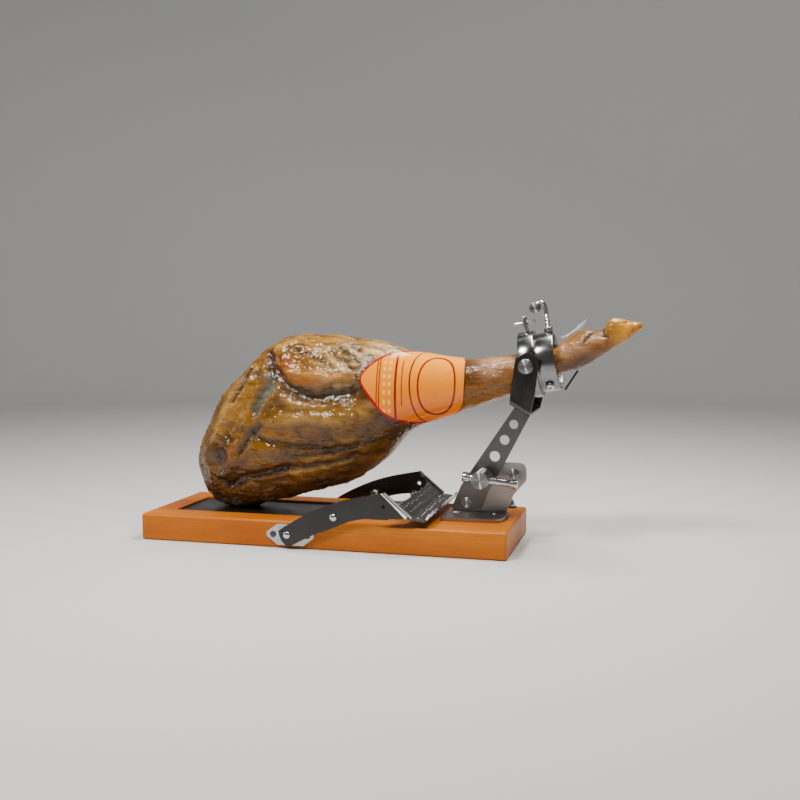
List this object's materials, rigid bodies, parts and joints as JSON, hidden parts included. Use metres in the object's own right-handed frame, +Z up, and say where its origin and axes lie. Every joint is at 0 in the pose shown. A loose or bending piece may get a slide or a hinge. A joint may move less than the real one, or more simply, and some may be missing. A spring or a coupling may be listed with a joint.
{
  "type": "cured ham in its carving stand",
  "caption": "Whole cured ham on the bone, its shank clamped in the swivelling head of a wooden carving stand with a tilting post and a folding toothed cradle.",
  "frame": {"origin": "middle of the underside of the board", "axes": "+Z up, +X along the board from the butt of the ham towards its foot, +Y to the back, away from the side with the label"},
  "size_m": [0.733, 0.2212, 0.3602],
  "materials": {
    "oiled_wood": "satin oiled orange-brown hardwood with a fine grain along its length",
    "inset_steel": "dark brushed",
    "brushed_steel": "brushed, with bright edges",
    "polished_steel": "turned and polished",
    "grey_plate": "matt light grey",
    "pale_nut": "pale",
    "black_rubber": "matt",
    "black_plastic": "matt black",
    "clear_tag": "clear, whitish",
    "label_paper": "glossy yellow-orange paper with dark red lines",
    "ham_skin": "oily golden-brown cured skin and fat"
  },
  "bodies": {
    "board": {"board": "oiled_wood", "inset_plate": "inset_steel", "foot_bracket": "brushed_steel", "foot_screw_left": "polished_steel", "foot_screw_right": "polished_steel", "lug_bolt": "polished_steel", "pivot_bolt": "brushed_steel", "pivot_nut": "polished_steel", "corner_washer": "black_rubber", "corner_stud": "polished_steel", "hinge_plate_front": "grey_plate", "hinge_plate_rear": "grey_plate", "hinge_screw_front_left": "polished_steel", "hinge_screw_front_right": "polished_steel", "hinge_screw_rear_left": "polished_steel", "hinge_screw_rear_right": "polished_steel", "cradle_pivot_front": "polished_steel", "cradle_pivot_rear": "polished_steel"},
    "cradle": {"cradle_arm_front": "brushed_steel", "cradle_arm_rear": "brushed_steel", "arm_screw_front": "polished_steel", "arm_screw_rear": "polished_steel", "arm_nut_front": "pale_nut", "arm_nut_rear": "pale_nut", "cradle_plate": "brushed_steel"},
    "post": {"post": "brushed_steel", "yoke": "brushed_steel", "clamp_nut": "polished_steel", "trunnion_bush_front": "polished_steel", "trunnion_bush_rear": "polished_steel", "trunnion_front": "polished_steel", "trunnion_rear": "polished_steel"},
    "knob": {"clamp_knob": "polished_steel"},
    "tommy": {"tommy_bar": "polished_steel", "tommy_cap_left": "polished_steel", "tommy_cap_right": "polished_steel"},
    "collar": {"collar": "polished_steel"},
    "lock": {"lock_screw": "polished_steel", "lock_bar": "polished_steel"},
    "clamp": {"clamp_ring": "polished_steel", "crank_nut": "polished_steel", "spike_screw_front": "polished_steel", "spike_screw_rear": "polished_steel", "ham": "ham_skin", "label": "label_paper", "foot_tag": "clear_tag", "tie_tail": "black_plastic"},
    "crank": {"crank_screw": "polished_steel", "crank_knob": "polished_steel"}
  },
  "joints": [
    {"name": "cradle_hinge", "type": "hinge", "parent": "board", "child": "cradle", "pos_m": [-0.041, 0, 0.021], "axis": [0, -1, 0], "range_deg": [0, 20]},
    {"name": "post_tilt", "type": "hinge", "parent": "board", "child": "post", "pos_m": [0.201, 0.018, 0.058], "axis": [0, 1, 0], "range_deg": [0, 8]},
    {"name": "knob_turn", "type": "hinge", "parent": "post", "child": "knob", "pos_m": [0.228, 0, 0.099], "axis": [0, -1, 0], "range_deg": [0, 160]},
    {"name": "tommy_slide", "type": "slide", "parent": "knob", "child": "tommy", "axis": [0.994, 0, -0.1097], "range_m": [-0.026, 0]},
    {"name": "head_pitch", "type": "hinge", "parent": "post", "child": "collar", "pos_m": [0.2965, 0.018, 0.267], "axis": [0, 1, 0], "range_deg": [0, 15]},
    {"name": "head_swivel", "type": "hinge", "parent": "collar", "child": "clamp", "pos_m": [0.2965, 0.018, 0.267], "axis": [0.9863, 0, 0.165], "continuous": true},
    {"name": "lock_turn", "type": "hinge", "parent": "collar", "child": "lock", "pos_m": [0.2965, 0.018, 0.267], "axis": [-0.165, 0, 0.9863], "continuous": true},
    {"name": "crank_turn", "type": "hinge", "parent": "clamp", "child": "crank", "pos_m": [0.32846, 0.018, 0.27235], "axis": [-0.165, 0, 0.9863], "continuous": true}
  ]
}
